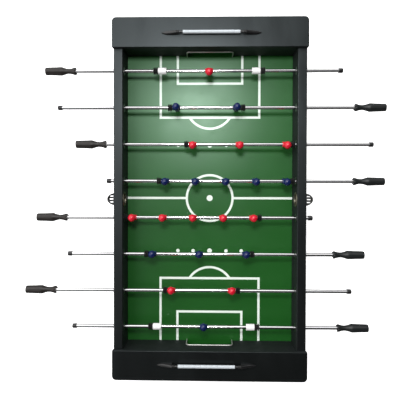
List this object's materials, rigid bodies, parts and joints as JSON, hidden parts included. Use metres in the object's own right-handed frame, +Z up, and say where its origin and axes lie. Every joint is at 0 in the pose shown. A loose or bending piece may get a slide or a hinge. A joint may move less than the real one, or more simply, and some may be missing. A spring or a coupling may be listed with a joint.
{
  "type": "tabletop foosball table",
  "caption": "Tabletop foosball table: black cabinet, green pitch, sliding and turning rods with players and grips, bead scorers, ball entries and goals.",
  "frame": {"origin": "centre of the base board's underside, between the four feet", "axes": "+Z up, X across the table along the rods, Y along the table from goal to goal"},
  "size_m": [1.0315, 1.016, 0.2174],
  "materials": {
    "black_laminate": "fibreboard under satin black foil with a fine pebble grain",
    "pitch_green": "glossy green printed board with white lines",
    "board": "raw fibreboard",
    "chrome": "polished chrome plate",
    "black_plastic": "moulded black plastic",
    "black_rubber": "black rubber",
    "grey_plastic": "moulded grey plastic",
    "brass_ring": "dull bronze-coloured ring",
    "white_plastic": "white moulded plastic",
    "team_red": "glossy red moulded plastic",
    "team_blue": "glossy navy moulded plastic"
  },
  "bodies": {
    "root": {"side_panel_left": "black_laminate", "side_panel_right": "black_laminate", "entry_ring_left": "brass_ring", "entry_ring_right": "brass_ring", "entry_cup_left": "grey_plastic", "entry_cup_right": "grey_plastic", "goal_wall_far": "black_laminate", "end_panel_far": "black_laminate", "end_board_far": "black_laminate", "goal_frame_far": "chrome", "ball_tray_far": "black_plastic", "scorer_frame_far": "black_plastic", "goal_wall_near": "black_laminate", "end_panel_near": "black_laminate", "end_board_near": "black_laminate", "goal_frame_near": "chrome", "ball_tray_near": "black_plastic", "scorer_frame_near": "black_plastic", "base_frame": "board", "pitch": "pitch_green"},
    "rod_1": {"rod_1": "chrome"},
    "men_1": {"player_1_1": "team_red", "grip_1": "black_plastic"},
    "rod_2": {"rod_2": "chrome"},
    "men_2": {"player_2_1": "team_blue", "player_2_2": "team_blue", "grip_2": "black_plastic"},
    "rod_3": {"rod_3": "chrome"},
    "men_3": {"player_3_1": "team_red", "player_3_2": "team_red", "player_3_3": "team_red", "grip_3": "black_plastic"},
    "rod_4": {"rod_4": "chrome"},
    "men_4": {"player_4_1": "team_blue", "player_4_2": "team_blue", "player_4_3": "team_blue", "player_4_4": "team_blue", "player_4_5": "team_blue", "grip_4": "black_plastic"},
    "rod_5": {"rod_5": "chrome"},
    "men_5": {"player_5_1": "team_red", "player_5_2": "team_red", "player_5_3": "team_red", "player_5_4": "team_red", "player_5_5": "team_red", "grip_5": "black_plastic"},
    "rod_6": {"rod_6": "chrome"},
    "men_6": {"player_6_1": "team_blue", "player_6_2": "team_blue", "player_6_3": "team_blue", "grip_6": "black_plastic"},
    "rod_7": {"rod_7": "chrome"},
    "men_7": {"player_7_1": "team_red", "player_7_2": "team_red", "grip_7": "black_plastic"},
    "rod_8": {"rod_8": "chrome"},
    "men_8": {"player_8_1": "team_blue", "grip_8": "black_plastic"},
    "beads_far": {"scorer_beads_far": "white_plastic"},
    "beads_near": {"scorer_beads_near": "white_plastic"}
  },
  "joints": [
    {"name": "rod_1_slide", "type": "slide", "parent": "root", "child": "rod_1", "axis": [1, 0, 0], "range_m": [-0.0833, 0.0879]},
    {"name": "rod_1_spin", "type": "hinge", "parent": "rod_1", "child": "men_1", "pos_m": [-0.0023, 0.3675, 0.152], "axis": [1, 0, 0], "continuous": true},
    {"name": "rod_2_slide", "type": "slide", "parent": "root", "child": "rod_2", "axis": [1, 0, 0], "range_m": [-0.125, 0.144]},
    {"name": "rod_2_spin", "type": "hinge", "parent": "rod_2", "child": "men_2", "pos_m": [-0.0095, 0.2625, 0.152], "axis": [1, 0, 0], "continuous": true},
    {"name": "rod_3_slide", "type": "slide", "parent": "root", "child": "rod_3", "axis": [1, 0, 0], "range_m": [-0.172, 0.002]},
    {"name": "rod_3_spin", "type": "hinge", "parent": "rod_3", "child": "men_3", "pos_m": [0.085, 0.1575, 0.152], "axis": [1, 0, 0], "continuous": true},
    {"name": "rod_4_slide", "type": "slide", "parent": "root", "child": "rod_4", "axis": [1, 0, 0], "range_m": [-0.0935, 0.0025]},
    {"name": "rod_4_spin", "type": "hinge", "parent": "rod_4", "child": "men_4", "pos_m": [0.0455, 0.0525, 0.152], "axis": [1, 0, 0], "continuous": true},
    {"name": "rod_5_slide", "type": "slide", "parent": "root", "child": "rod_5", "axis": [1, 0, 0], "range_m": [0, 0.096]},
    {"name": "rod_5_spin", "type": "hinge", "parent": "rod_5", "child": "men_5", "pos_m": [-0.048, -0.0525, 0.152], "axis": [1, 0, 0], "continuous": true},
    {"name": "rod_6_slide", "type": "slide", "parent": "root", "child": "rod_6", "axis": [1, 0, 0], "range_m": [-0.0574, 0.1166]},
    {"name": "rod_6_spin", "type": "hinge", "parent": "rod_6", "child": "men_6", "pos_m": [-0.0296, -0.1575, 0.152], "axis": [1, 0, 0], "continuous": true},
    {"name": "rod_7_slide", "type": "slide", "parent": "root", "child": "rod_7", "axis": [1, 0, 0], "range_m": [-0.1119, 0.1571]},
    {"name": "rod_7_spin", "type": "hinge", "parent": "rod_7", "child": "men_7", "pos_m": [-0.0226, -0.2625, 0.152], "axis": [1, 0, 0], "continuous": true},
    {"name": "rod_8_slide", "type": "slide", "parent": "root", "child": "rod_8", "axis": [1, 0, 0], "range_m": [-0.0691, 0.1021]},
    {"name": "rod_8_spin", "type": "hinge", "parent": "rod_8", "child": "men_8", "pos_m": [-0.0165, -0.3675, 0.152], "axis": [1, 0, 0], "continuous": true},
    {"name": "beads_far_slide", "type": "slide", "parent": "root", "child": "beads_far", "axis": [1, 0, 0], "range_m": [-0.009, 0.009]},
    {"name": "beads_near_slide", "type": "slide", "parent": "root", "child": "beads_near", "axis": [1, 0, 0], "range_m": [-0.009, 0.009]}
  ]
}
